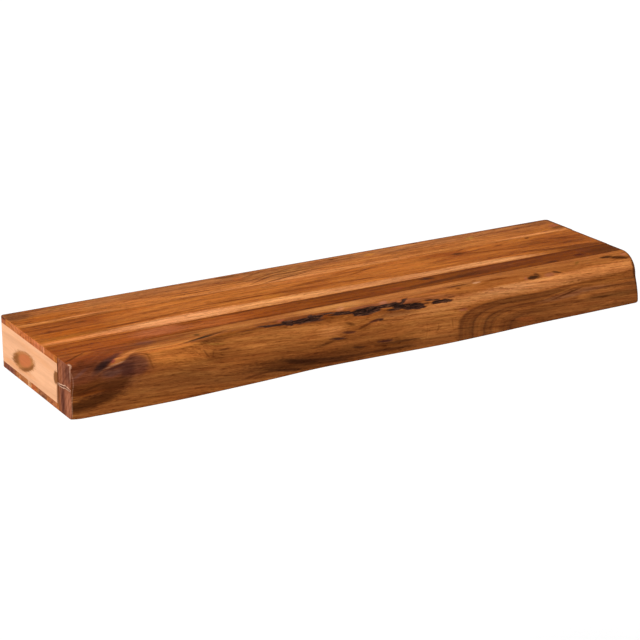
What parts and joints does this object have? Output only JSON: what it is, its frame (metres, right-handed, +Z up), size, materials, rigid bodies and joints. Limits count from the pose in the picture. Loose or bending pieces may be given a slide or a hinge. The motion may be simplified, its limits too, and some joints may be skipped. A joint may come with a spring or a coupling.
{
  "type": "wall shelf",
  "caption": "Floating wall shelf: a hollow box of glued hardwood staves with a live-edge front board and pine cheeks, sliding on the rods of a hidden steel wall bracket.",
  "frame": {"origin": "middle of the bracket's rear face, on the wall, halfway up the shelf", "axes": "+X along the shelf to the right as seen from the room, +Y into the wall, +Z up"},
  "size_m": [1, 0.2547, 0.08],
  "materials": {
    "golden_hardwood": "oiled, satin, orange-brown with light sapwood streaks",
    "brown_hardwood": "oiled, satin, red-brown with dark streaks",
    "live_edge_hardwood": "oiled, satin, golden brown with growth rings and dark bark pockets",
    "pine": "planed, matt to satin, pale",
    "beech": "raw",
    "bracket_steel": "zinc plated, satin"
  },
  "bodies": {
    "wall_bracket": {"bracket_rail": "bracket_steel", "bracket_rod_1": "bracket_steel", "bracket_rod_2": "bracket_steel", "bracket_rod_3": "bracket_steel", "bracket_rod_4": "bracket_steel"},
    "shelf": {"top_stave_back": "golden_hardwood", "top_stave_middle": "golden_hardwood", "top_stave_front": "brown_hardwood", "bottom_stave_back": "golden_hardwood", "bottom_stave_middle": "golden_hardwood", "bottom_stave_front": "brown_hardwood", "front_board": "live_edge_hardwood", "end_cheek_left": "pine", "end_cheek_right": "pine", "back_rail": "pine", "guide_rib_1": "pine", "guide_rib_2": "pine", "guide_rib_3": "pine", "guide_rib_4": "pine", "front_dowel_left_upper": "beech", "front_dowel_left_lower": "beech", "front_dowel_right_upper": "beech", "front_dowel_right_lower": "beech", "rear_dowel_left_upper": "beech", "rear_dowel_left_lower": "beech", "rear_dowel_right_upper": "beech", "rear_dowel_right_lower": "beech", "rib_dowel_1": "beech", "rib_dowel_2": "beech", "rib_dowel_3": "beech", "rib_dowel_4": "beech"}
  },
  "joints": [
    {"name": "shelf_slide", "type": "slide", "parent": "wall_bracket", "child": "shelf", "axis": [0, -1, 0], "range_m": [0, 0.18]}
  ]
}
